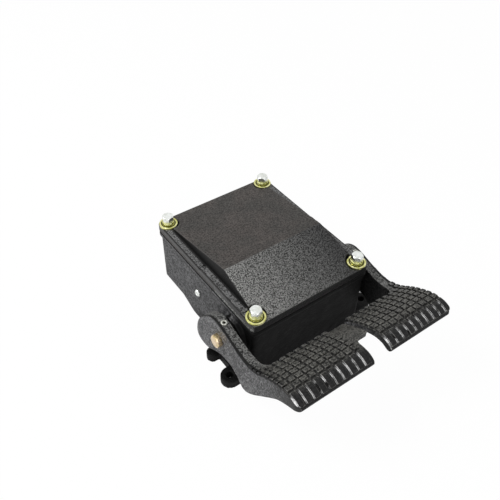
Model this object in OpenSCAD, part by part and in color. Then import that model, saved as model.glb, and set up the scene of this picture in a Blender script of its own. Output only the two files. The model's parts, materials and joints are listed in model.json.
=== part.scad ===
// Double pedal foot switch: a cast box with a ridged lid and two studded treadles.
// Each treadle turns a short shaft in the side of the box and works its own switch.
// X runs left to right, the treadles are at -Y, Z is up and the floor is Z = 0.

/* [Box] */
// Width of the lid
box_w = 132; // [131:0.5:134]
// Length of the lid, front to rear
box_l = 164; // [163:0.5:168]
// Height of the lid's flat rim above the floor
flange_z = 78; // [77.5:0.5:80]
// Height of the lid's ridge above its rim
ridge_h = 14.4; // [12:0.2:16]
// Place of the ridge along the box
ridge_y = -22.5; // [-30:0.5:-15]

/* [Lid bolts] */
// Spacing across the box
bolt_x = 115; // [114:0.5:116]
// Spacing along the box
bolt_y = 147; // [146:0.5:148]
// Width of the hexagon heads across the flats
hex_af = 10; // [10:0.5:11]

/* [Pedals] */
// Outer face of the arms, from the middle of the box
arm_out = 82.6; // [82:0.1:84]
// Thickness of the arms
arm_t = 9.8; // [9:0.1:10]
// Outer edge of the treadles, from the middle of the box
tread_out = 84; // [83:0.1:85]
// Inner edge of the left treadle, from the middle of the box
left_edge = 6; // [5:0.1:7]
// Inner edge of the right treadle, from the middle of the box
right_edge = 12; // [11.5:0.1:13]
// Columns of studs on each treadle
stud_columns = 10; // [8:1:12]
// Height of the studs
stud_h = 1.8; // [1.2:0.1:2]

/* [Fixing] */
// Radius of the holes in the floor lugs
lug_hole_r = 3.3; // [3:0.1:4.5]
// Radius of the cable inlet's threaded hole
inlet_r = 10.2; // [8:0.1:10.5]

/* [Hidden] */
$fn = 48;

iron = [0.14, 0.14, 0.14];
lid_iron = [0.19, 0.185, 0.18];
zinc = [0.86, 0.87, 0.88];
yellow_zinc = [0.8, 0.76, 0.4];
steel = [0.6, 0.61, 0.63];
bronze = [0.7, 0.5, 0.25];
rubber = [0.07, 0.07, 0.07];
phenolic = [0.2, 0.11, 0.07];
brass = [0.8, 0.65, 0.3];

// Joint between box and lid
lid_t = 8;
gasket_t = 1.5;
lid_z = flange_z - lid_t;
box_z = lid_z - gasket_t;
gasket_in = 2;
rim_h = 4.5;
rim_step = 1.5;
rim_groove = 1.2;
corner_r = 5;

// Walls of the box below its rim
body_w = box_w - 2 * rim_step;
body_l = box_l - 2 * rim_step;
front_y = -body_l / 2;
wall = 6;
inner_x = body_w / 2 - wall;
inner_y = body_l / 2 - wall + 0.5;
floor_t = 6;
lift_h = 8;
lift_from = 22;
lift_to = 42;

// Lugs at the floor: a drilled pair in front, a small pair joined to it, ears behind
lug_x = 81;
lug_y = -68;
lug_r = 9;
lug_h = 9;
toe_x = 79.7;
toe_y = -36.8;
toe_r = 6;
foot_x = 76;
ear_x = 42;
ear_y = 88;
ear_r = 10;
ear_h = 12;

// Cable inlet in the rear wall
inlet_z = 38;
inlet_boss_r = 16;
inlet_boss_y = 90;

// Lid bolts, from the rim upward: flat washer, spring washer, head
bolt_r = 3;
bolt_hole_r = 3.3;
bolt_len = 36;
washer_t = 1.8;
washer_r = 9;
spring_washer_t = 2.2;
spring_washer_r = 5.9;
head_h = 7;
pillar_r = 8.5;
pillar_z = 30;
spot_r = 10.5;

// Roof and edge strips of the lid
roof_foot_x = 58.5;
roof_draft = 3.2;
hollow_x = 50;
hollow_y = 68;
roof_t = 6;
strip_h = 1;
strip_front = -62;
strip_rear = 0;

// Pivots
pivot_y = -54;
pivot_z = 46.5;
arm_in = arm_out - arm_t;
shaft_r = 8;
shaft_in = 38;
shaft_out = arm_in + 5.8;
set_screw_x = arm_in + 4.4;
set_screw_r = 3;
bush_r = 11;
bush_in = 54;
boss_out = 70;
boss_r = 17;
inner_boss_r = 15;
bush_flange_r = 12.5;
pivot_bolt_r = 4;
pivot_af = 11.5;
left_arm_turn = -1;
right_arm_turn = 0;
play = 0.3;
fit = 0.05;

// Levers, springs and switches inside
hub_r = 11;
hub_in = 40;
hub_out = bush_in - play;
lever_in = 22;
lever_bottom = 38.5;
lever_top = 44.5;
lever_rear = -16;
pin_r = 2;
pin_x = 46;
action_y = -27;
spring_x = 29.5;
spring_r = 5.5;
wire_r = 0.7;
spring_turns = 7;
post_x = 46;
post_z = 34;
buffer_z = lever_bottom - play;
bracket_z = 65;
bracket_t = 2.5;
bracket_in = 22;
bracket_front = -42;
bracket_rear = 16;
tab_t = 3;
side_screw_y = 9.2;
side_screw_z = 40.4;
switch_in = 37;
switch_out = 55;
switch_x = 46;
switch_front = -38;
switch_rear = 4;
switch_z = 55;
plunger_r = 3;
plunger_len = 12;
guide_r = 5;
guide_z = 52;

// Terminals
block_w = 64;
block_y = 46;
block_d = 18;
block_z = 14;
block_h = 18;
poles = 6;
pole_pitch = 9;
earth_x = 46;
earth_y = 60;

// Outline of the treadle seen from the side, as (y, z) on the floor of the grooves
ramp = [[-98, 58.3], [-104, 59.9], [-110, 62.7]];
crown = [
    [-116, 66.9], [-124, 72.8], [-132, 77.4], [-140, 81.2], [-147.5, 83.3],
    [-155.5, 83.4], [-161, 81.4], [-164.2, 78.4], [-163.4, 75.2]
];
under = [
    [-160, 74.2], [-154, 76.6], [-147, 76.6], [-140, 74.5], [-132, 70.8],
    [-124, 66.2], [-116, 60.2], [-112.2, 58.6]
];
rear_lip = [[-110.6, 60.6], [-112, 63.6]];
arm_top = [
    [-15.6, 26], [-18.2, 37.6], [-25, 49.5], [-33.7, 59.1], [-40, 64.3], [-47, 66.6],
    [-54, 66.2], [-61.4, 64.5], [-71.9, 61.5], [-83.8, 58.7], [-92, 58]
];
arm_bottom = [
    [-159, 73.2], [-150, 68.8], [-139, 62], [-130, 52.8], [-118.7, 40.4], [-108, 28.6],
    [-99.3, 20.4], [-93.5, 18], [-88.8, 19.1], [-81.8, 24.6], [-72.9, 28.2],
    [-61.9, 27.7], [-52.5, 25], [-42, 18.5], [-33, 13.2], [-22.2, 12.8], [-16.5, 17]
];
tread_rear = -111;
tread_front = -170;
inside_corner_r = 10;
outer_corner_r = 8;
inner_corner_r = 4;
corner_front = -166;
flare_from = -70;
flare_to = -112;
notch_end = -138.5;
tongue_edge = 9;
rib_t = 5;

// Rows of studs, as lengths along the ramp and crown
row_pitch = 6.4;
first_row = 3.4;
arm_rows = 2;
rows = 9;
stud_l = 4.7;
groove = 2;
long_rib_from = 59;
long_rib_to = 72;
stud_sink = 1.5;

// Smooth curves through points
function bend(a, b, c, d, t) =
    ((2 * b) + (c - a) * t + (2 * a - 5 * b + 4 * c - d) * t * t
        + (3 * b - a - 3 * c + d) * t * t * t) / 2;
function smooth_loop(p, n) =
    let (m = len(p))
    [for (i = [0:m - 1]) for (k = [0:n - 1])
        bend(p[(i + m - 1) % m], p[i], p[(i + 1) % m], p[(i + 2) % m], k / n)];
function smooth_line(p, n) =
    let (m = len(p))
    [for (i = [0:m - 2]) for (k = [0:n - 1])
        bend(p[max(i - 1, 0)], p[i], p[i + 1], p[min(i + 2, m - 1)], k / n)];

// Place on a line at length s from its start, as [y, z, tilt of the surface]
function place(line, s, i = 0) =
    let (step = line[i + 1] - line[i], d = norm(step))
    s <= d || i == len(line) - 2
        ? let (p = line[i] + step * s / d) [p[0], p[1], atan2(-step[1], -step[0])]
        : place(line, s - d, i + 1);

tread_line = smooth_line(concat(ramp, crown), 4);

module rounded_plate(w, l, h, r) {
    linear_extrude(h) {
        square([w - 2 * r, l], center = true);
        square([w, l - 2 * r], center = true);
        for (x = [-1, 1], y = [-1, 1])
            translate([x * (w / 2 - r), y * (l / 2 - r)]) circle(r);
    }
}

// A side outline drawn as (y, z), given a width from x0 to x1
module side_slab(x0, x1) {
    translate([x0, 0, 0]) rotate([90, 0, 90]) linear_extrude(x1 - x0) children();
}

// A cylinder lying along X
module x_rod(r, x0, x1) {
    translate([x0, 0, 0]) rotate([0, 90, 0]) cylinder(r = r, h = x1 - x0);
}

module at_pivot() {
    translate([0, pivot_y, pivot_z]) children();
}

module both_sides() {
    children();
    mirror([1, 0, 0]) children();
}

module at_lid_bolts(z) {
    for (x = [-1, 1], y = [-1, 1])
        translate([x * bolt_x / 2, y * bolt_y / 2, z]) children();
}

// A hexagon head with its top corners turned down
module hex_head(af, h) {
    intersection() {
        cylinder(r = af / 2 / cos(30), h = h, $fn = 6);
        union() {
            cylinder(r = af, h = h - 1);
            translate([0, 0, h - 1]) cylinder(r1 = af * 0.585, r2 = af * 0.47, h = 1);
        }
    }
}

// A round screw head with a dome and a cross slot, standing on z = 0
module pan_head(r, h) {
    slot = r * 0.25;
    difference() {
        union() {
            cylinder(r = r, h = h * 0.55);
            translate([0, 0, h * 0.55]) cylinder(r1 = r, r2 = r * 0.7, h = h * 0.45);
        }
        translate([-r * 0.6, -slot / 2, h * 0.5]) cube([r * 1.2, slot, h]);
        translate([-slot / 2, -r * 0.6, h * 0.5]) cube([slot, r * 1.2, h]);
    }
}

// Box

module box_outline() {
    groove_z = box_z - rim_h - rim_groove;
    intersection() {
        difference() {
            rounded_plate(body_w, body_l, box_z, corner_r);
            translate([0, 0, groove_z]) difference() {
                translate([-body_w, -body_l, 0]) cube([2 * body_w, 2 * body_l, rim_groove]);
                translate([0, 0, -1]) rounded_plate(
                    body_w - 2 * rim_groove, body_l - 2 * rim_groove, rim_groove + 2, corner_r
                );
            }
        }
        side_slab(-body_w / 2, body_w / 2)
            polygon([
                [front_y, 0], [lift_from, 0], [lift_to, lift_h],
                [-front_y, lift_h], [-front_y, box_z], [front_y, box_z]
            ]);
    }
}

module box_cavity() {
    top = box_z + 1;
    side_slab(-inner_x, inner_x)
        polygon([
            [-inner_y, floor_t], [lift_from - 2, floor_t],
            [lift_to - 1, floor_t + lift_h], [inner_y, floor_t + lift_h],
            [inner_y, top], [-inner_y, top]
        ]);
}

module floor_lugs() {
    side = body_w / 2 - 1;
    ear_root = body_l / 2 - 11;
    translate([lug_x, lug_y, 0]) cylinder(r = lug_r, h = lug_h);
    translate([side, lug_y - lug_r, 0]) cube([lug_x - side, 2 * lug_r, lug_h]);
    translate([toe_x, toe_y, 0]) cylinder(r = toe_r, h = lug_h);
    translate([side, toe_y - toe_r, 0]) cube([toe_x - side, 2 * toe_r, lug_h]);
    translate([side, lug_y, 0]) cube([foot_x - side, toe_y - lug_y, lug_h]);
    translate([ear_x, ear_y, 0]) cylinder(r = ear_r, h = ear_h);
    translate([ear_x - ear_r, ear_root, 0]) cube([2 * ear_r, ear_y - ear_root, ear_h]);
}

// Columns and posts that rise inside the box on one side
module inner_columns() {
    for (y = [-1, 1])
        translate([bolt_x / 2, y * bolt_y / 2, pillar_z])
            cylinder(r = pillar_r, h = box_z - pillar_z);
    translate([post_x, action_y, 0]) cylinder(r = 6, h = post_z);
}

module base_casting() {
    color(iron) difference() {
        union() {
            difference() {
                union() {
                    box_outline();
                    translate([0, 0, box_z - rim_h])
                        rounded_plate(box_w, box_l, rim_h, corner_r);
                    both_sides() floor_lugs();
                }
                difference() {
                    box_cavity();
                    both_sides() inner_columns();
                    translate([earth_x, earth_y, 0]) cylinder(r = 5, h = 20);
                }
            }
            both_sides() at_pivot() {
                x_rod(boss_r, inner_x + 1, boss_out);
                x_rod(inner_boss_r, bush_in, inner_x + 1);
            }
            translate([0, inner_y + 1, inlet_z]) rotate([-90, 0, 0])
                cylinder(r = inlet_boss_r, h = inlet_boss_y - inner_y - 1);
        }
        both_sides() {
            at_pivot() x_rod(bush_r, bush_in - 1, boss_out + 1);
            translate([lug_x, lug_y, -1]) cylinder(r = lug_hole_r, h = lug_h + 2);
            translate([ear_x, ear_y, -1]) cylinder(r = lug_hole_r, h = ear_h + 2);
            translate([post_x, action_y, post_z - 6]) cylinder(r = 2.55, h = 7);
            translate([0, side_screw_y, side_screw_z]) x_rod(2.6, inner_x - 1, body_w / 2 + 1);
        }
        at_lid_bolts(box_z - 25) cylinder(r = bolt_r + fit, h = 26);
        translate([0, inner_y - 1, inlet_z]) rotate([-90, 0, 0])
            cylinder(r = inlet_r, h = inlet_boss_y - inner_y + 2);
        translate([earth_x, earth_y, floor_t + 4]) cylinder(r = 2.55, h = 20);
    }
}

module pivot_bushes() {
    color(bronze) both_sides() at_pivot() difference() {
        union() {
            x_rod(bush_r, bush_in, boss_out);
            x_rod(bush_flange_r, boss_out, arm_in - play);
        }
        x_rod(shaft_r + fit, bush_in - 1, arm_in);
    }
}

// Lid

module lid_roof() {
    top = flange_z + ridge_h;
    intersection() {
        side_slab(-roof_foot_x, roof_foot_x)
            polygon([
                [-box_l / 2, flange_z - 1], [box_l / 2, flange_z - 1], [box_l / 2, flange_z],
                [ridge_y, top], [-box_l / 2, flange_z]
            ]);
        rotate([90, 0, 0]) linear_extrude(box_l + 2, center = true)
            polygon([
                [-roof_foot_x, flange_z - 1], [roof_foot_x, flange_z - 1],
                [roof_foot_x, flange_z], [roof_foot_x - roof_draft, top],
                [roof_draft - roof_foot_x, top], [-roof_foot_x, flange_z]
            ]);
    }
}

module lid_hollow() {
    front_rise = ridge_h * (box_l / 2 - hollow_y) / (box_l / 2 + ridge_y);
    rear_rise = ridge_h * (box_l / 2 - hollow_y) / (box_l / 2 - ridge_y);
    ceiling = flange_z - roof_t;
    side_slab(-hollow_x, hollow_x)
        polygon([
            [-hollow_y, lid_z - 1], [hollow_y, lid_z - 1],
            [hollow_y, ceiling + rear_rise], [ridge_y, ceiling + ridge_h],
            [-hollow_y, ceiling + front_rise]
        ]);
}

module lid_strip() {
    w = box_w / 2 - roof_foot_x;
    translate([roof_foot_x - 1, strip_front, flange_z - 1])
        cube([w + 1, strip_rear - strip_front, strip_h + 1]);
    translate([roof_foot_x + w / 2, strip_rear, flange_z - 1])
        cylinder(r = w / 2, h = strip_h + 1);
}

module lid_cover() {
    color(lid_iron) difference() {
        union() {
            translate([0, 0, lid_z]) rounded_plate(box_w, box_l, lid_t, corner_r);
            lid_roof();
            both_sides() lid_strip();
        }
        lid_hollow();
        at_lid_bolts(flange_z) cylinder(r = spot_r, h = ridge_h);
        at_lid_bolts(lid_z - 1) cylinder(r = bolt_hole_r, h = lid_t + 2);
    }
}

module lid_gasket() {
    color(rubber) translate([0, 0, box_z]) difference() {
        rounded_plate(box_w - 2 * gasket_in, box_l - 2 * gasket_in, gasket_t, corner_r);
        translate([0, 0, -1])
            rounded_plate(2 * hollow_x + 2, 2 * hollow_y - 2, gasket_t + 2, 3);
        at_lid_bolts(-1) cylinder(r = bolt_hole_r, h = gasket_t + 2);
    }
}

module lid_flat_washers() {
    color(yellow_zinc) at_lid_bolts(flange_z) difference() {
        cylinder(r = washer_r, h = washer_t);
        translate([0, 0, -1]) cylinder(r = bolt_r + 0.3, h = washer_t + 2);
    }
}

module lid_spring_washers() {
    slit = 1.2;
    color(yellow_zinc) at_lid_bolts(flange_z + washer_t) difference() {
        cylinder(r = spring_washer_r, h = spring_washer_t);
        translate([0, 0, -1]) cylinder(r = bolt_r + 0.2, h = spring_washer_t + 2);
        rotate([0, 0, -70]) translate([0, -slit / 2, -1])
            cube([spring_washer_r + 1, slit, spring_washer_t + 2]);
    }
}

module lid_bolts() {
    seat = flange_z + washer_t + spring_washer_t;
    color(zinc) at_lid_bolts(seat) {
        rotate([0, 0, 12]) hex_head(hex_af, head_h);
        translate([0, 0, -bolt_len]) cylinder(r = bolt_r - fit, h = bolt_len + 1);
    }
}

// Inside works, drawn for the right side

module one_buffer() {
    translate([post_x, action_y, post_z]) {
        cylinder(r = 6, h = buffer_z - post_z);
        translate([0, 0, -5]) cylinder(r = 2.5, h = 6);
    }
}

module stop_buffers() {
    color(rubber) both_sides() one_buffer();
}

module one_bracket() {
    depth = bracket_rear - bracket_front;
    tab_x = inner_x - tab_t;
    tab_y = 2;
    tab_bottom = 33;
    difference() {
        union() {
            translate([bracket_in, bracket_front, bracket_z])
                cube([inner_x - bracket_in, depth, bracket_t]);
            translate([tab_x, tab_y, tab_bottom])
                cube([tab_t, bracket_rear - tab_y, bracket_z - tab_bottom + 1]);
            translate([0, side_screw_y, side_screw_z]) x_rod(5, tab_x - 4, tab_x);
            translate([spring_x, action_y, bracket_z - 5]) cylinder(r = 4, h = 6);
        }
        translate([0, side_screw_y, side_screw_z]) x_rod(2.55, tab_x - 5, inner_x + 1);
        for (y = [switch_front + 4, switch_rear - 4])
            translate([switch_x, y, bracket_z - 1]) cylinder(r = 2.2, h = bracket_t + 2);
    }
}

module switch_brackets() {
    color(steel) both_sides() one_bracket();
}

module bracket_screws() {
    head_r = 3.8;
    color(zinc) both_sides() translate([0, side_screw_y, side_screw_z]) {
        x_rod(2.5, inner_x - tab_t - 4, body_w / 2 + 0.5);
        translate([body_w / 2, 0, 0]) rotate([0, 90, 0]) pan_head(head_r, 3);
    }
}

module one_switch() {
    difference() {
        union() {
            translate([switch_in, switch_front, switch_z])
                cube([switch_out - switch_in, switch_rear - switch_front, bracket_z - switch_z]);
            translate([switch_x, action_y, guide_z]) cylinder(r = guide_r, h = 4);
        }
        translate([switch_x, action_y, guide_z - 1])
            cylinder(r = plunger_r + fit, h = 10.5);
        for (y = [switch_front + 4, switch_rear - 4])
            translate([switch_x, y, switch_z + 2]) cylinder(r = 2.05, h = 10);
    }
    for (y = [-16, -9, -2])
        translate([switch_x - 3, y - 1, switch_z - 4]) cube([6, 1, 5]);
}

module left_switch() {
    color(phenolic) mirror([1, 0, 0]) one_switch();
}

module right_switch() {
    color(phenolic) one_switch();
}

module switch_screws() {
    color(zinc) both_sides()
        for (y = [switch_front + 4, switch_rear - 4])
            translate([switch_x, y, bracket_z + bracket_t]) {
                pan_head(3.5, 2.6);
                translate([0, 0, -9]) cylinder(r = 2, h = 10);
            }
}

module one_plunger() {
    dome = 5;
    translate([switch_x, action_y, lever_top + play]) intersection() {
        cylinder(r = plunger_r, h = plunger_len);
        union() {
            translate([0, 0, dome]) sphere(r = dome);
            translate([0, 0, dome]) cylinder(r = plunger_r, h = plunger_len);
        }
    }
}

module left_plunger() {
    color(brass) mirror([1, 0, 0]) one_plunger();
}

module right_plunger() {
    color(brass) one_plunger();
}

// Return spring as one tube along a helix
rings_per_turn = 8;
wire_sides = 6;
spring_low = lever_top + 0.1 + wire_r;
spring_high = bracket_z - wire_r;
spring_steps = spring_turns * rings_per_turn;
function coil_point(i) =
    let (a = 360 * i / rings_per_turn)
    [spring_r * cos(a), spring_r * sin(a),
        spring_low + (spring_high - spring_low) * i / spring_steps];
function coil_ring(i) =
    let (a = 360 * i / rings_per_turn, p = coil_point(i))
    [for (k = [0:wire_sides - 1])
        let (b = 360 * k / wire_sides)
        p + wire_r * [cos(b) * cos(a), cos(b) * sin(a), sin(b)]];
coil_gap = min([
    for (i = [0:rings_per_turn - 1]) for (j = [i + 5:spring_steps])
        norm(coil_point(i) - coil_point(j))
]) - 2 * wire_r;
echo(least_gap_between_turns = coil_gap);

module one_spring() {
    points = [for (i = [0:spring_steps]) each coil_ring(i)];
    last = spring_steps * wire_sides;
    sides = [
        for (i = [0:spring_steps - 1]) for (k = [0:wire_sides - 1])
            let (n = (k + 1) % wire_sides, a = i * wire_sides, b = a + wire_sides)
            each [[a + k, b + n, a + n], [a + k, b + k, b + n]]
    ];
    start = [for (k = [1:wire_sides - 2]) [0, k, k + 1]];
    end = [for (k = [1:wire_sides - 2]) [last, last + k + 1, last + k]];
    translate([spring_x, action_y, 0]) polyhedron(points, concat(sides, start, end));
}

module left_return_spring() {
    color(steel) translate([-2 * spring_x, 0, 0]) one_spring();
}

module right_return_spring() {
    color(steel) one_spring();
}

module terminal_block() {
    color(phenolic) translate([-block_w / 2, block_y, block_z]) difference() {
        cube([block_w, block_d, block_h]);
        for (i = [0:poles - 1], y = [-1, block_d - 5])
            translate([5.8 + i * pole_pitch, y, 8]) cube([pole_pitch - 1.6, 6, block_h]);
    }
}

module terminal_screws() {
    first = -block_w / 2 + 5 + pole_pitch / 2;
    color(brass)
        for (i = [0:poles - 1], y = [block_y + 2.5, block_y + block_d - 2.5])
            translate([first + i * pole_pitch, y, block_z + 8]) pan_head(2.3, 2);
}

module earth_screw() {
    color(brass) translate([earth_x, earth_y, 20]) {
        hex_head(8, 3.5);
        translate([0, 0, -9]) cylinder(r = 2.5, h = 10);
    }
}

// Moving pieces, drawn for the right side

module one_shaft() {
    at_pivot() difference() {
        x_rod(shaft_r, shaft_in, shaft_out - 0.1);
        x_rod(pivot_bolt_r, shaft_out - 19, shaft_out + 1);
        translate([pin_x, 0, -20]) cylinder(r = pin_r + 0.02, h = 40);
    }
}

module one_pivot_bolt() {
    at_pivot() {
        x_rod(pivot_bolt_r - fit, shaft_out - 18, arm_out + 0.5);
        translate([arm_out, 0, 0]) rotate([0, 90, 0]) rotate([0, 0, 20]) hex_head(pivot_af, 5.3);
    }
}

module one_set_screw(turn) {
    top = 20.3;
    seat = shaft_r + fit;
    at_pivot() rotate([-turn, 0, 0]) translate([set_screw_x, 0, 0]) difference() {
        translate([0, 0, seat]) cylinder(r = set_screw_r - fit, h = top - seat);
        translate([0, 0, top - 3]) cylinder(r = 1.7, h = 4, $fn = 6);
    }
}

module one_lever() {
    difference() {
        union() {
            at_pivot() x_rod(hub_r, hub_in, hub_out);
            translate([hub_in, pivot_y, lever_bottom])
                cube([hub_out - hub_in, lever_rear - pivot_y, lever_top - lever_bottom]);
            translate([lever_in, action_y - 9, lever_bottom])
                cube([hub_out - lever_in, lever_rear - action_y + 9, lever_top - lever_bottom]);
        }
        at_pivot() {
            x_rod(shaft_r + 0.02, hub_in - 1, hub_out + 1);
            translate([pin_x, 0, -20]) cylinder(r = pin_r + 0.02, h = 40);
        }
    }
}

module one_lever_pin() {
    at_pivot() translate([pin_x, 0, -hub_r]) cylinder(r = pin_r, h = 2 * hub_r);
}

// Treadle and arm in one casting

module pedal_plan(edge) {
    difference() {
        union() {
            translate([edge, tread_front])
                square([arm_out - edge, tread_rear - tread_front + 1]);
            translate([arm_in - inside_corner_r, tread_rear])
                square([inside_corner_r, inside_corner_r]);
            polygon([
                [arm_in, 0], [arm_out, 0], [arm_out, flare_from], [tread_out, flare_to],
                [tread_out, tread_front], [arm_in, tread_front]
            ]);
        }
        translate([arm_in - inside_corner_r, tread_rear + inside_corner_r])
            circle(inside_corner_r);
        corner_cut(tread_out, 1, outer_corner_r);
        corner_cut(edge, -1, inner_corner_r);
    }
}

// Rounds the front corner of the plan at x, whose outside is to the side given
module corner_cut(x, side, r) {
    difference() {
        translate([side > 0 ? x - r : x - 1, tread_front - 1])
            square([r + 1, corner_front + r - tread_front + 1]);
        translate([x - side * r, corner_front + r]) circle(r);
    }
}

module tread_plate(x0, x1) {
    side_slab(x0, x1) polygon(smooth_loop(concat(rear_lip, crown, under), 3));
}

module arm_plate() {
    side_slab(arm_in, tread_out)
        polygon(smooth_loop(concat(arm_top, ramp, crown, arm_bottom), 3));
}

// Web that fills the inside corner between treadle and arm
module corner_web() {
    side_slab(arm_in - inside_corner_r, arm_in + 1)
        polygon(concat(
            ramp, [crown[0]], [[-116, 60.5], [-110, 56.3], [-104, 53.3], [-98, 51.8]]
        ));
}

module under_ribs(edge) {
    side_slab(38, 38 + rib_t)
        polygon([
            [-114, 61], [-124, 67], [-140, 75.5], [-150, 77.5], [-159, 76],
            [-146, 69.5], [-130, 60.5], [-116, 54.5]
        ]);
    translate([edge, -118, 54.5]) cube([arm_in - edge + 1, rib_t, 6.5]);
}

// A short stud on the line at length s
module stud(x, s, w) {
    at = place(tread_line, s);
    translate([x, at[0], at[1]]) rotate([at[2], 0, 0])
        translate([0, -stud_l / 2, -stud_sink]) cube([w, stud_l, stud_h + stud_sink]);
}

// A long rib that follows the front of the crown
module long_rib(x, w) {
    steps = 5;
    at = [
        for (i = [0:steps])
            place(tread_line, long_rib_from + (long_rib_to - long_rib_from) * i / steps)
    ];
    outer = [for (p = at) [p[0] - stud_h * sin(p[2]), p[1] + stud_h * cos(p[2])]];
    inner = [
        for (i = [steps:-1:0])
            let (p = at[i]) [p[0] + stud_sink * sin(p[2]), p[1] - stud_sink * cos(p[2])]
    ];
    side_slab(x, x + w) polygon(concat(outer, inner));
}

// Studs in columns from first outward, on the arm as well as on the treadle
module studs(first) {
    pitch = (tread_out - 1 - first + groove) / stud_columns;
    w = pitch - groove;
    for (c = [0:stud_columns - 1]) {
        x = first + c * pitch;
        for (r = [x > arm_in - 1 ? 0 : arm_rows:rows - 1])
            stud(x, first_row + r * row_pitch, w);
        long_rib(x, w);
    }
}

module pedal_holes() {
    at_pivot() {
        x_rod(shaft_r + 0.02, arm_in - 1, shaft_out);
        x_rod(pivot_bolt_r + 0.3, shaft_out - 1, arm_out + 1);
    }
    translate([set_screw_x, pivot_y, pivot_z]) cylinder(r = set_screw_r, h = 30);
}

// A pedal with its inner edge at edge and its first studs at first, turned on its shaft
module one_pedal(edge, first, turn) {
    at_pivot() rotate([-turn, 0, 0]) translate([0, -pivot_y, -pivot_z]) difference() {
        union() {
            intersection() {
                union() {
                    tread_plate(edge, tread_out);
                    arm_plate();
                    corner_web();
                    studs(first);
                }
                linear_extrude(200) pedal_plan(edge);
            }
            under_ribs(edge);
            children();
        }
        pedal_holes();
    }
}

// Smooth tongue of the left treadle behind the notch, in that pedal's mirrored frame
module tongue() {
    half = (left_edge + tongue_edge) / 2;
    middle = left_edge - half;
    centre_y = notch_end - half;
    intersection() {
        tread_plate(-tongue_edge, left_edge + 1);
        linear_extrude(200) difference() {
            translate([-tongue_edge, centre_y])
                square([left_edge + tongue_edge + 1, tread_rear - centre_y + 1]);
            translate([middle, centre_y]) circle(half);
            translate([-tongue_edge - 1, centre_y - 1]) square([half + 1, half + 1]);
        }
    }
}

module right_pedal() {
    color(iron) one_pedal(right_edge, right_edge + 1, right_arm_turn);
}

module left_pedal() {
    color(iron) mirror([1, 0, 0]) one_pedal(left_edge, left_edge + 4, left_arm_turn) tongue();
}

module right_shaft() {
    color(steel) one_shaft();
}

module left_shaft() {
    color(steel) mirror([1, 0, 0]) one_shaft();
}

module right_pivot_bolt() {
    color(yellow_zinc) one_pivot_bolt();
}

module left_pivot_bolt() {
    color(yellow_zinc) mirror([1, 0, 0]) one_pivot_bolt();
}

module right_set_screw() {
    color(zinc) one_set_screw(right_arm_turn);
}

module left_set_screw() {
    color(zinc) mirror([1, 0, 0]) one_set_screw(left_arm_turn);
}

module right_lever() {
    color(steel) one_lever();
}

module left_lever() {
    color(steel) mirror([1, 0, 0]) one_lever();
}

module right_lever_pin() {
    color(zinc) one_lever_pin();
}

module left_lever_pin() {
    color(zinc) mirror([1, 0, 0]) one_lever_pin();
}

base_casting();
lid_cover();
lid_gasket();
lid_bolts();
lid_spring_washers();
lid_flat_washers();
pivot_bushes();
stop_buffers();
switch_brackets();
bracket_screws();
left_switch();
right_switch();
switch_screws();
terminal_block();
terminal_screws();
earth_screw();
left_return_spring();
right_return_spring();
left_plunger();
right_plunger();
left_pedal();
left_shaft();
left_pivot_bolt();
left_set_screw();
left_lever();
left_lever_pin();
right_pedal();
right_shaft();
right_pivot_bolt();
right_set_screw();
right_lever();
right_lever_pin();
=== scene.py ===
import json
import math

import bmesh
import bpy
from mathutils import Matrix, Vector

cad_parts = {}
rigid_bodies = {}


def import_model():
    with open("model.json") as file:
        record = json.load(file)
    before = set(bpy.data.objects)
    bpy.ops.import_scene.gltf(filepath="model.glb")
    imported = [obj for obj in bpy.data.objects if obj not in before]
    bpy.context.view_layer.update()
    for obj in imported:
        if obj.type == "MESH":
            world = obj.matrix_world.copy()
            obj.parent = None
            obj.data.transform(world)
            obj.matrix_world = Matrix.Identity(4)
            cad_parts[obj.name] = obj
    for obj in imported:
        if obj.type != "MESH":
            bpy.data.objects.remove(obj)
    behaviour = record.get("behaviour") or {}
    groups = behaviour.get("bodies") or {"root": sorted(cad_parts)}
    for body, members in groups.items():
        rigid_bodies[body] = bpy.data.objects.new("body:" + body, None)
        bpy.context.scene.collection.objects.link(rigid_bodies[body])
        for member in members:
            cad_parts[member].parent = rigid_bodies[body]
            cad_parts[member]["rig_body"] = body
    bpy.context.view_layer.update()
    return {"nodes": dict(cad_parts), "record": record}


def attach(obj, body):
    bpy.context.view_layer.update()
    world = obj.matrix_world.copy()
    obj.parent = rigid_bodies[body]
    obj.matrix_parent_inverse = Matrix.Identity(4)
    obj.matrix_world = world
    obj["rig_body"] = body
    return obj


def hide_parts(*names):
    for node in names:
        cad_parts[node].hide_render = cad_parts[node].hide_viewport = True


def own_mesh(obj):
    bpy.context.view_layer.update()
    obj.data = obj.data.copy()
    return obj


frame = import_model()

MM = 0.001

# Camera, fitted to the photograph: view angles in degrees, focal length in pixels of a
# 500 pixel frame, and the offset of the lid's middle in units of the bolt spacing
AZIMUTH, ELEVATION, ROLL = -36.074, 43.397, 0.805
FOCAL_PX, FRAME_PX, SENSOR_MM = 604.33, 500.0, 36.0
UNIT = 115 * MM
OFFSET = Vector((0.078, 0.058, 5.035))
LID_RIM = Vector((0, 0, 78 * MM))

# Sizes of the object that the materials follow, in mm: the lid's ridge, the spacing of
# its bolts, the middle of its strips, the outer side of the arms and a left floor lug
RIDGE_Y = -22.5
BOLT_X, BOLT_Y = 115, 147
STRIP_X = 62.25
ARM_OUT = 82.6
LUG_X, LUG_Y = -81, -68

# Light on the object from the world, and how white the camera sees the floor
SKY_LIGHT = 0.55
FLOOR_WHITE = 0.97

# Greys that several paints share; the black is painted shade in grooves, creases and joint lines
SHADE_BLACK = 0.003
WARM = (1, 0.98, 0.9)


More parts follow.
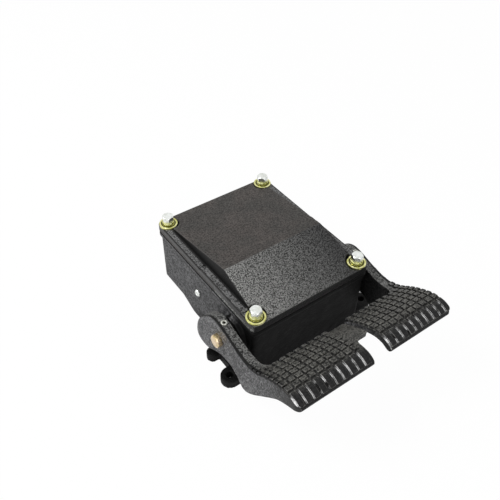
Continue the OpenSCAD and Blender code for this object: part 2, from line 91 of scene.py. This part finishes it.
def camera_axes():
    """Right, up and back of the camera, turned by its roll."""
    az, el, roll = (math.radians(v) for v in (AZIMUTH, ELEVATION, ROLL))
    back = Vector((math.sin(az) * math.cos(el), -math.cos(az) * math.cos(el), math.sin(el)))
    right = (-back).cross(Vector((0, 0, 1))).normalized()
    up = right.cross(-back)
    return (
        right * math.cos(roll) + up * math.sin(roll),
        up * math.cos(roll) - right * math.sin(roll),
        back,
    )


def make_camera():
    right, up, back = camera_axes()
    place = LID_RIM - (right * OFFSET.x + up * OFFSET.y - back * OFFSET.z) * UNIT
    turn = Matrix((right, up, back)).transposed().to_4x4()
    data = bpy.data.cameras.new("camera")
    data.sensor_width = SENSOR_MM
    data.lens = FOCAL_PX / FRAME_PX * SENSOR_MM
    data.clip_start, data.clip_end = 0.02, 50
    camera = bpy.data.objects.new("camera", data)
    camera.matrix_world = Matrix.Translation(place) @ turn
    bpy.context.scene.collection.objects.link(camera)
    bpy.context.scene.camera = camera


def area_light(name, place, target, size, power):
    data = bpy.data.lights.new(name, "AREA")
    data.shape = "RECTANGLE"
    data.size, data.size_y = size
    data.energy = power
    light = bpy.data.objects.new(name, data)
    direction = Vector(target) - Vector(place)
    light.location = place
    light.rotation_mode = "QUATERNION"
    light.rotation_quaternion = direction.to_track_quat("-Z", "Y")
    bpy.context.scene.collection.objects.link(light)


class Nodes:
    """Short ways to build a node tree."""

    def __init__(self, tree):
        self.tree = tree
        self.tree.nodes.clear()

    def add(self, kind, inputs=None, **settings):
        node = self.tree.nodes.new(kind)
        for key, value in settings.items():
            setattr(node, key, value)
        for key, value in (inputs or {}).items():
            socket = node.inputs[key]
            if isinstance(value, bpy.types.NodeSocket):
                self.tree.links.new(value, socket)
            else:
                socket.default_value = value
        return node

    def math(self, operation, a, b=0.0):
        return self.add("ShaderNodeMath", {0: a, 1: b}, operation=operation).outputs[0]

    def size(self, value):
        return self.math("ABSOLUTE", value)

    def every(self, first, *others):
        """The product of masks: 1 where all of them are 1."""
        for other in others:
            first = self.math("MULTIPLY", first, other)
        return first

    def any(self, first, *others):
        """The largest of some masks."""
        for other in others:
            first = self.math("MAXIMUM", first, other)
        return first

    def distance(self, x, y):
        return self.math(
            "SQRT", self.math("ADD", self.math("MULTIPLY", x, x), self.math("MULTIPLY", y, y))
        )

    def smooth_step(self, value, low, high):
        node = self.add(
            "ShaderNodeMapRange",
            {"Value": value, "From Min": low, "From Max": high, "To Min": 0.0, "To Max": 1.0},
            interpolation_type="SMOOTHSTEP",
        )
        return node.outputs["Result"]

    def step_mm(self, value, low_mm, high_mm):
        return self.smooth_step(value, low_mm * MM, high_mm * MM)

    def mix(self, factor, a, b):
        node = self.add("ShaderNodeMix", data_type="RGBA")
        for socket, value in ((node.inputs[0], factor), (node.inputs[6], a), (node.inputs[7], b)):
            if isinstance(value, bpy.types.NodeSocket):
                self.tree.links.new(value, socket)
            else:
                socket.default_value = value
        return node.outputs[2]

    def blend(self, factor, a, b):
        """A number that goes from a to b as factor goes from 0 to 1."""
        node = self.add("ShaderNodeMapRange", {"Value": factor, "To Min": a, "To Max": b})
        return node.outputs["Result"]

    def noise(self, coords, size_mm, detail=3.0, roughness=0.55):
        inputs = {"Vector": coords, "Detail": detail, "Roughness": roughness}
        inputs["Scale"] = 1 / (size_mm * MM)
        return self.add("ShaderNodeTexNoise", inputs).outputs["Fac"]

    def bump(self, height, distance_mm, strength=1.0, normal=None):
        inputs = {"Height": height, "Distance": distance_mm * MM, "Strength": strength}
        if normal is not None:
            inputs["Normal"] = normal
        return self.add("ShaderNodeBump", inputs).outputs["Normal"]


def grey(value, tint=(1, 1, 1)):
    return (value * tint[0], value * tint[1], value * tint[2], 1)


def new_material(name):
    material = bpy.data.materials.new(name)
    material.use_nodes = True
    nodes = Nodes(material.node_tree)
    shader = nodes.add("ShaderNodeBsdfPrincipled")
    out = nodes.add("ShaderNodeOutputMaterial")
    nodes.tree.links.new(shader.outputs[0], out.inputs[0])
    coords = nodes.add("ShaderNodeTexCoord").outputs["Object"]
    return material, nodes, shader, coords


def put(nodes, shader, **values):
    """Sets or links sockets of the shader, named with underscores for blanks."""
    for key, value in values.items():
        socket = shader.inputs[key.replace("_", " ")]
        if isinstance(value, bpy.types.NodeSocket):
            nodes.tree.links.new(value, socket)
        else:
            socket.default_value = value


def position(nodes, coords):
    """X, Y and Z of the point on the object, in metres."""
    return nodes.add("ShaderNodeSeparateXYZ", {"Vector": coords}).outputs[:3]


def facing(nodes):
    """X, Y and Z of the true surface direction."""
    normal = nodes.add("ShaderNodeNewGeometry").outputs["True Normal"]
    return nodes.add("ShaderNodeSeparateXYZ", {"Vector": normal}).outputs[:3]


def edges(nodes, low, high):
    """1 where the surface bends more than low to high: above 0.5 outward, below it inward."""
    geometry = nodes.add("ShaderNodeNewGeometry")
    return nodes.smooth_step(geometry.outputs["Pointiness"], low, high)


def between(nodes, value, low, high, soft):
    """1 where value lies between low and high."""
    rise = nodes.smooth_step(value, low - soft, low + soft)
    fall = nodes.smooth_step(value, high + soft, high - soft)
    return nodes.every(rise, fall)


def band(nodes, value, low_mm, high_mm, soft_mm=0.3):
    """1 where value, in metres, lies between low and high."""
    return between(nodes, value, low_mm * MM, high_mm * MM, soft_mm * MM)


def sand(nodes, coords, size_mm, strength):
    """A number around 1 that varies like sand-cast iron under thin paint."""
    coarse = nodes.math("MULTIPLY", nodes.noise(coords, size_mm, 2, 0.6), 0.75)
    fine = nodes.math("MULTIPLY", nodes.noise(coords, size_mm * 0.45, 2, 0.6), 0.25)
    grains = nodes.smooth_step(nodes.math("ADD", coarse, fine), 0.4, 0.6)
    return nodes.blend(grains, 1 - strength, 1 + strength)


def waves(nodes, coords, fine_mm, coarse_mm, share):
    """Height of an uneven cast surface."""
    coarse = nodes.math("MULTIPLY", nodes.noise(coords, coarse_mm, 2), share)
    return nodes.math("ADD", nodes.noise(coords, fine_mm, 3), coarse)


def shade(nodes, colour, factor):
    """The colour made lighter or darker by factor."""
    if isinstance(colour, tuple):
        colour = colour[:3]
    return nodes.add("ShaderNodeVectorMath", {0: colour, 3: factor}, operation="SCALE").outputs[0]


def box_paint():
    """Side walls lit grey, painted shade making the front wall behind the treadles black, and
    painted shade along the joint lines, low at the front and beside the arms.
    """
    material, nodes, shader, coords = new_material("box_paint")
    _, y, z = position(nodes, coords)
    _, ny, _ = facing(nodes)
    mottle = nodes.smooth_step(nodes.noise(coords, 11, 4), 0.3, 0.7)
    colour = nodes.mix(mottle, grey(0.054, (1, 1, 1.04)), grey(0.09, (1, 1, 1.02)))
    # Painted shade: the front wall behind the treadles made nearly black
    front = nodes.every(nodes.smooth_step(ny, -0.35, -0.8), nodes.step_mm(y, -78, -79.5))
    colour = nodes.mix(front, colour, grey(0.0045))
    spots = nodes.smooth_step(nodes.noise(coords, 3.4, 2), 0.6, 0.7)
    colour = nodes.mix(nodes.every(spots, 0.8), colour, grey(0.014))
    colour = shade(nodes, colour, sand(nodes, coords, 2.0, 0.6))
    colour = nodes.mix(nodes.every(edges(nodes, 0.52, 0.58), 0.35), colour, grey(0.12))
    # Painted shade: black along the joint lines under the lid's rim, low on the front half of the
    # box, and at the front end of the walls beside the arms
    joint_shade = nodes.any(band(nodes, z, 61, 62.9), band(nodes, z, 68, 70))
    foot_shade = nodes.every(nodes.step_mm(z, 18, 10), nodes.step_mm(y, 20, 0))
    shade_beside_arm = nodes.every(nodes.step_mm(y, -50, -62), nodes.step_mm(z, 71.5, 70.5))
    colour = nodes.mix(nodes.any(joint_shade, foot_shade, shade_beside_arm), colour, grey(SHADE_BLACK))
    put(
        nodes, shader, Base_Color=colour, Roughness=nodes.blend(mottle, 0.5, 0.62),
        Normal=nodes.bump(waves(nodes, coords, 1.4, 8, 2.0), 0.35), Specular_IOR_Level=0.12,
    )
    return material


def pedal_paint():
    """Grainy black treadles and arms; edges lighter from rubbed paint and a painted highlight,
    painted shade in the grooves, on the nose and below.
    """
    material, nodes, shader, coords = new_material("pedal_paint")
    x, y, _ = position(nodes, coords)
    nx, _, nz = facing(nodes)
    mottle = nodes.smooth_step(nodes.noise(coords, 10, 4), 0.3, 0.7)
    colour = nodes.mix(mottle, grey(0.05, WARM), grey(0.073, (1, 0.98, 0.89)))

    # Arms: lighter on top, grey on the sides with painted shade darkening them towards the front,
    # and painted shade making the inside of the right arm black
    arm_top = nodes.every(nodes.step_mm(y, -118, -100), nodes.smooth_step(nz, 0.45, 0.7))
    colour = nodes.mix(arm_top, colour, grey(0.1, (1, 1, 0.97)))
    arm = nodes.mix(nodes.step_mm(y, -150, -110), grey(0.026), grey(0.078, (1, 1, 1.03)))
    arm = shade(nodes, arm, sand(nodes, coords, 2.4, 0.7))
    colour = nodes.mix(nodes.smooth_step(nodes.size(nx), 0.7, 0.9), colour, arm)
    # Painted shade on the inside of the right arm, which faces the box
    inner_arm_shade = nodes.every(nodes.smooth_step(nx, -0.5, -0.8), nodes.step_mm(x, 30, 40))
    colour = nodes.mix(inner_arm_shade, colour, grey(0.01))

    # Painted shade on the nose, grain, and painted shade in the grooves, on the sideways slopes and
    # along the outer rim
    # Painted shade: the forward-facing nose made nearly black
    colour = nodes.mix(nodes.step_mm(y, -142, -157), colour, grey(0.007))
    colour = shade(nodes, colour, sand(nodes, coords, 1.25, 0.95))
    # Painted shade in the grooves
    colour = nodes.mix(edges(nodes, 0.498, 0.46), colour, grey(SHADE_BLACK))
    # Painted shade on the sideways slopes and along the outer rim
    behind_nose = nodes.step_mm(y, -150, -140)
    sloping = nodes.smooth_step(nodes.size(nx), 0.35, 0.5)
    slope_shade = nodes.every(between(nodes, nz, 0.12, 0.84, 0.06), sloping, behind_nose)
    outer = nodes.step_mm(nodes.size(x), ARM_OUT - 2.6, ARM_OUT - 1.8)
    rim = nodes.every(outer, nodes.smooth_step(nz, 0.1, 0.3), behind_nose)
    colour = nodes.mix(nodes.any(slope_shade, rim), colour, grey(SHADE_BLACK))

    # Lighter stud edges, partly paint rubbed off and partly a painted highlight, and painted
    # highlights as light streaks on the ribs of the nose
    patchy = nodes.smooth_step(nodes.noise(coords, 4, 2), 0.35, 0.6)
    rub_and_glint = nodes.every(edges(nodes, 0.515, 0.57), patchy, nodes.step_mm(y, -112, -120))
    colour = nodes.mix(nodes.every(rub_and_glint, 0.85), colour, grey(0.26, WARM))
    highlight_streak = nodes.every(
        nodes.smooth_step(nx, -0.3, -0.6), nodes.step_mm(y, -151, -156),
        nodes.smooth_step(nz, 0.1, 0.3),
        nodes.smooth_step(nodes.noise(coords, 7, 2), 0.32, 0.6),
    )
    colour = nodes.mix(highlight_streak, colour, grey(0.8))
    # Painted shade on the undersides
    colour = nodes.mix(nodes.smooth_step(nz, -0.1, -0.5), colour, grey(0.006))
    put(
        nodes, shader, Base_Color=colour, Roughness=nodes.blend(mottle, 0.36, 0.5),
        Normal=nodes.bump(waves(nodes, coords, 1.2, 7, 1.6), 0.4), Specular_IOR_Level=0.2,
    )
    return material


def lid_paint():
    """Coarse grain in front of the ridge, nearly smooth behind it, a painted light fading across
    the front slope, painted shade darkening the steep sides and the creases.
    """
    material, nodes, shader, coords = new_material("lid_paint")
    x, y, z = position(nodes, coords)
    nx, ny, nz = facing(nodes)
    out = nodes.size(x)
    front = nodes.step_mm(y, RIDGE_Y + 0.6, RIDGE_Y - 0.6)

    # The two slopes; on the front one a painted light fades from left to right
    mottle = nodes.smooth_step(nodes.noise(coords, 26, 4), 0.35, 0.7)
    rear = nodes.mix(mottle, grey(0.047, (1.05, 1, 0.94)), grey(0.057, (1.12, 1, 0.93)))
    rear = shade(nodes, rear, sand(nodes, coords, 1.5, 0.45))
    light_falloff = nodes.add(
        "ShaderNodeMapRange", {"Value": x, "From Min": -58 * MM, "From Max": 50 * MM}
    ).outputs["Result"]
    grain = nodes.mix(light_falloff, grey(0.17, (1, 1, 0.97)), grey(0.038))
    grain = shade(nodes, grain, sand(nodes, coords, 1.15, 0.85))
    colour = nodes.mix(front, rear, grain)

    # Painted shade on the steep sides of the roof, darkest low down; the side of the rim, and the
    # strips
    steep = nodes.every(nodes.smooth_step(nz, 0.75, 0.45), nodes.step_mm(out, 62.5, 61.5))
    shaded_flank = nodes.mix(nodes.step_mm(z, 79.5, 88), grey(0.001), grey(0.014))
    colour = nodes.mix(steep, colour, shaded_flank)
    lip = nodes.every(
        nodes.smooth_step(nodes.size(nx), 0.8, 0.95), nodes.step_mm(z, 73, 74),
        nodes.step_mm(out, 63.5, 64.5),
    )
    colour = nodes.mix(lip, colour, grey(0.075))
    strip = nodes.every(nodes.step_mm(out, 58.8, 59.4), nodes.smooth_step(nz, 0.6, 0.8))
    strip_colour = shade(nodes, grey(0.11), sand(nodes, coords, 1.5, 0.75))
    colour = nodes.mix(strip, colour, strip_colour)

    # Dark lines along the rim and round the rear end of each strip
    along = nodes.every(band(nodes, out, 64.7, 66.6, 0.25), nodes.smooth_step(nz, 0.12, 0.3))
    reach = nodes.distance(nodes.math("SUBTRACT", out, STRIP_X * MM), y)
    end = nodes.every(
        band(nodes, reach, 3.5, 4.5, 0.25), nodes.step_mm(y, 0, 0.5),
        nodes.smooth_step(nz, 0.5, 0.7),
    )
    colour = nodes.mix(nodes.any(along, end), colour, grey(0.004))
    # Painted shade on the front face of the rim
    rim_front_shade = nodes.every(nodes.smooth_step(ny, -0.5, -0.85), nodes.step_mm(y, -79, -80.5))
    colour = nodes.mix(rim_front_shade, colour, grey(0.012))
    # Painted shade in the creases and along the lid's lower edge above the seal
    colour = nodes.mix(edges(nodes, 0.496, 0.475), colour, grey(SHADE_BLACK))
    colour = nodes.mix(band(nodes, z, 69, 70.7), colour, grey(SHADE_BLACK))
    # Lighter convex edges, partly rubbed paint and partly a painted highlight
    rub_and_glint = nodes.every(edges(nodes, 0.515, 0.56), 0.4)
    colour = nodes.mix(rub_and_glint, colour, grey(0.16, (1, 0.98, 0.95)))

    height = nodes.every(nodes.noise(coords, 1.5, 3, 0.6), nodes.blend(front, 0.15, 1.0))
    lumps = nodes.bump(nodes.noise(coords, 16, 2), 0.5)
    put(
        nodes, shader, Base_Color=colour, Roughness=nodes.blend(front, 0.5, 0.42),
        Normal=nodes.bump(height, 0.9, normal=lumps), Specular_IOR_Level=0.1,
    )
    return material


def plated(name, colour, other, rough=(0.2, 0.36), patch_mm=3, dark_ring=None):
    """Zinc plate with cloudy patches and painted shade in the creases; the last argument, if given,
    is the radii in mm of a dark ring round the lid bolts.
    """
    material, nodes, shader, coords = new_material(name)
    cloud = nodes.smooth_step(nodes.noise(coords, patch_mm, 3), 0.35, 0.65)
    tone = nodes.mix(cloud, (*colour, 1), (*other, 1))
    if dark_ring:
        x, y, _ = position(nodes, coords)
        dx = nodes.math("SUBTRACT", nodes.size(x), BOLT_X / 2 * MM)
        dy = nodes.math("SUBTRACT", nodes.size(y), BOLT_Y / 2 * MM)
        ring = band(nodes, nodes.distance(dx, dy), *dark_ring, 0.25)
        tone = nodes.mix(ring, tone, (0.035, 0.035, 0.008, 1))
    # Painted shade in the creases
    tone = nodes.mix(edges(nodes, 0.49, 0.45), tone, (0.03, 0.03, 0.015, 1))
    put(
        nodes, shader, Base_Color=tone, Metallic=1.0, Roughness=nodes.blend(cloud, *rough),
        Normal=nodes.bump(nodes.noise(coords, 0.8, 2), 0.05),
    )
    return material


def plain(name, colour, rough, metallic=0.0, gloss=0.5):
    """One material all over, a little cloudy."""
    material, nodes, shader, coords = new_material(name)
    cloud = nodes.noise(coords, 4, 3)
    low = tuple(c * 0.8 for c in colour)
    high = tuple(min(1, c * 1.2) for c in colour)
    put(
        nodes, shader, Base_Color=nodes.mix(cloud, (*low, 1), (*high, 1)), Metallic=metallic,
        Roughness=nodes.blend(cloud, rough - 0.06, rough + 0.08), Specular_IOR_Level=gloss,
        Normal=nodes.bump(nodes.noise(coords, 0.8, 2), 0.05),
    )
    return material


def own_copy(node, name):
    """A new object with the shape of a CAD node, its corners joined."""
    mesh = frame["nodes"][node].data.copy()
    mesh.materials.clear()
    work = bmesh.new()
    work.from_mesh(mesh)
    bmesh.ops.remove_doubles(work, verts=work.verts, dist=0.002 * MM)
    work.to_mesh(mesh)
    work.free()
    for layer in [a for a in mesh.attributes if a.name == "custom_normal"]:
        mesh.attributes.remove(layer)
    piece = bpy.data.objects.new(name, mesh)
    bpy.context.scene.collection.objects.link(piece)
    return piece


def apply_modifiers(piece):
    bpy.context.view_layer.update()
    graph = bpy.context.evaluated_depsgraph_get()
    mesh = bpy.data.meshes.new_from_object(piece.evaluated_get(graph))
    old = piece.data
    piece.modifiers.clear()
    piece.data = mesh
    bpy.data.meshes.remove(old)


def finish_piece(piece, node, material, sharp=None):
    """Gives the piece its material and puts it in the node's place."""
    piece.data.materials.clear()
    piece.data.materials.append(material)
    piece.data.polygons.foreach_set("use_smooth", [True] * len(piece.data.polygons))
    if sharp is not None:
        piece.data.set_sharp_from_angle(angle=math.radians(sharp))
    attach(piece, frame["nodes"][node]["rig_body"])
    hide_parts(node)
    return piece


def casting(node, name, material, voxel_mm):
    """A cast piece: every edge rounded as sand casting and paint leave it."""
    piece = own_copy(node, name)
    remesh = piece.modifiers.new("remesh", "REMESH")
    remesh.mode = "VOXEL"
    remesh.voxel_size = voxel_mm * MM
    smooth = piece.modifiers.new("smooth", "SMOOTH")
    smooth.factor = 0.5
    smooth.iterations = 3
    apply_modifiers(piece)
    return finish_piece(piece, node, material)


def machined(node, name, material, edge_mm, sharp=40):
    """A turned, pressed or machined piece with its edges slightly broken."""
    piece = own_copy(node, name)
    flat = piece.modifiers.new("flat", "DECIMATE")
    flat.decimate_type = "DISSOLVE"
    flat.angle_limit = math.radians(1)
    bevel = piece.modifiers.new("bevel", "BEVEL")
    bevel.width = edge_mm * MM
    bevel.segments = 2
    bevel.limit_method = "ANGLE"
    bevel.angle_limit = math.radians(35)
    apply_modifiers(piece)
    return finish_piece(piece, node, material, sharp)


def make_castings(materials):
    """The four castings; fine features need small voxels, in mm."""
    coarser = 1.0
    for node, name, material, slot, voxel_mm in (
        ("base_casting", "box_casting", "box", "black_casting", 0.8),
        ("lid_cover", "lid_casting", "lid", "black_lid", 0.7),
        ("left_pedal", "left_treadle_casting", "pedal", "black_pedal", 0.45),
        ("right_pedal", "right_treadle_casting", "pedal", "black_pedal", 0.45),
    ):
        casting(node, name, materials[material], voxel_mm * coarser)


def make_hardware(materials):
    """Bolts, washers and screws, each with the width of its broken edges in mm."""
    for node, name, material, slot, edge in (
        ("lid_bolts", "hex_bolts", "bright", "bright_zinc", 0.25),
        ("lid_spring_washers", "spring_washers", "yellow", "yellow_zinc", 0.25),
        ("lid_flat_washers", "flat_washers", "yellow", "yellow_zinc", 0.2),
        ("bracket_screws", "side_screws", "bright", "bright_zinc", 0.15),
        ("left_pivot_bolt", "left_arm_bolt", "gold", "gold_zinc", 0.25),
        ("right_pivot_bolt", "right_arm_bolt", "gold", "gold_zinc", 0.25),
        ("left_set_screw", "left_arm_set_screw", "satin", "bright_zinc", 0.15),
        ("right_set_screw", "right_arm_set_screw", "satin", "bright_zinc", 0.15),
        ("pivot_bushes", "flanged_bushes", "bronze", "bronze", 0.2),
        ("lid_gasket", "lid_seal", "rubber", "rubber", 0.2),
    ):
        machined(node, name, materials[material], edge)


def make_springs(materials):
    """The return springs, copied from their CAD nodes with the steel material."""
    for side in ("left", "right"):
        node = f"{side}_return_spring"
        piece = own_copy(node, f"{side}_coil_spring")
        finish_piece(piece, node, materials["steel"])
        corners = [v.co for v in piece.data.vertices]
        low, high = (Vector([pick(c[i] for c in corners) for i in range(3)]) for pick in (min, max))
        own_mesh(piece)


def paint_inner_nodes(materials):
    """Nodes inside the box keep their CAD shape and get a material."""
    slots = {s["node"]: s["material_slot"] for s in frame["record"]["subparts"]}
    by_slot = {
        "steel": "steel", "bronze": "bronze", "brass": "brass", "phenolic": "phenolic",
        "rubber": "rubber", "bright_zinc": "bright", "yellow_zinc": "yellow",
        "gold_zinc": "gold", "black_casting": "box", "black_lid": "lid", "black_pedal": "pedal",
    }
    for name, node in frame["nodes"].items():
        material = materials[by_slot[slots[name]]]
        if not node.material_slots:
            continue
        for place in node.material_slots:
            place.link = "OBJECT"
            place.material = material


def make_materials():
    return {
        "box": box_paint(),
        "pedal": pedal_paint(),
        "lid": lid_paint(),
        "bright": plated("bright_plate", (0.86, 0.88, 0.86), (0.68, 0.7, 0.66)),
        "satin": plated("satin_plate", (0.66, 0.67, 0.62), (0.3, 0.3, 0.26), (0.4, 0.55), 1.4),
        "yellow": plated("yellow_plate", (0.78, 0.76, 0.42), (0.5, 0.5, 0.14), dark_ring=(6.0, 7.3)),
        "gold": plated("gold_plate", (0.85, 0.66, 0.48), (0.62, 0.5, 0.26)),
        "bronze": plain("bearing_bronze", (0.06, 0.05, 0.03), 0.5, 1.0),
        "brass": plain("turned_brass", (0.72, 0.54, 0.24), 0.3, 1.0),
        "steel": plain("bare_steel", (0.5, 0.5, 0.52), 0.4, 1.0),
        "phenolic": plain("moulded_phenolic", (0.06, 0.03, 0.018), 0.4),
        "rubber": plain("black_rubber", (0.004, 0.004, 0.004), 0.8, gloss=0.1),
    }


def make_floor():
    size = 3.0
    mesh = bpy.data.meshes.new("floor")
    corners = [(-size, -size, 0), (size, -size, 0), (size, size, 0), (-size, size, 0)]
    mesh.from_pydata(corners, [], [(0, 1, 2, 3)])
    floor = bpy.data.objects.new("floor", mesh)
    bpy.context.scene.collection.objects.link(floor)
    material = bpy.data.materials.new("floor_white")
    material.use_nodes = True
    nodes = Nodes(material.node_tree)
    paper = nodes.add("ShaderNodeBsdfDiffuse", {"Color": (0.9, 0.9, 0.9, 1)})
    glow = nodes.add("ShaderNodeEmission", {"Color": (1, 1, 1, 1), "Strength": 1.0})
    seen = nodes.add("ShaderNodeLightPath").outputs["Is Camera Ray"]

    # Beside the right arm and under a left lug's hole the floor keeps its full shadow
    x, y, _ = position(nodes, nodes.add("ShaderNodeTexCoord").outputs["Object"])
    shade_beside_arm = nodes.every(band(nodes, x, 87, 96, 2), band(nodes, y, -79, -48, 2))
    dx = nodes.math("SUBTRACT", x, LUG_X * MM)
    dy = nodes.math("SUBTRACT", y, LUG_Y * MM)
    under_hole = nodes.step_mm(nodes.distance(dx, dy), 5.5, 4.5)
    white = nodes.blend(nodes.any(shade_beside_arm, under_hole), FLOOR_WHITE, 0.0)
    share = nodes.every(seen, white)
    mixed = nodes.add("ShaderNodeMixShader", {0: share, 1: paper.outputs[0], 2: glow.outputs[0]})
    nodes.add("ShaderNodeOutputMaterial", {0: mixed.outputs[0]})
    mesh.materials.append(material)


def make_world():
    world = bpy.data.worlds.new("world")
    world.use_nodes = True
    bpy.context.scene.world = world
    nodes = Nodes(world.node_tree)
    path = nodes.add("ShaderNodeLightPath").outputs
    rays = (path[f"Is {kind} Ray"] for kind in ("Camera", "Glossy", "Transmission"))
    strength = nodes.blend(nodes.any(*rays), SKY_LIGHT, 1.0)
    sky = nodes.add("ShaderNodeBackground", {"Color": (1, 1, 1, 1), "Strength": strength})
    nodes.add("ShaderNodeOutputWorld", {0: sky.outputs[0]})


def make_lights():
    area_light("key", (-0.9, 0.5, 1.3), (0, 0, 0.05), (0.7, 0.7), 16)
    area_light("front", (-0.2, -1.2, 0.9), (0, -0.1, 0.05), (0.5, 0.3), 3)


make_camera()
make_world()
make_lights()
make_floor()
materials = make_materials()
paint_inner_nodes(materials)
make_castings(materials)
make_hardware(materials)
make_springs(materials)

bpy.context.scene.view_settings.view_transform = "Standard"
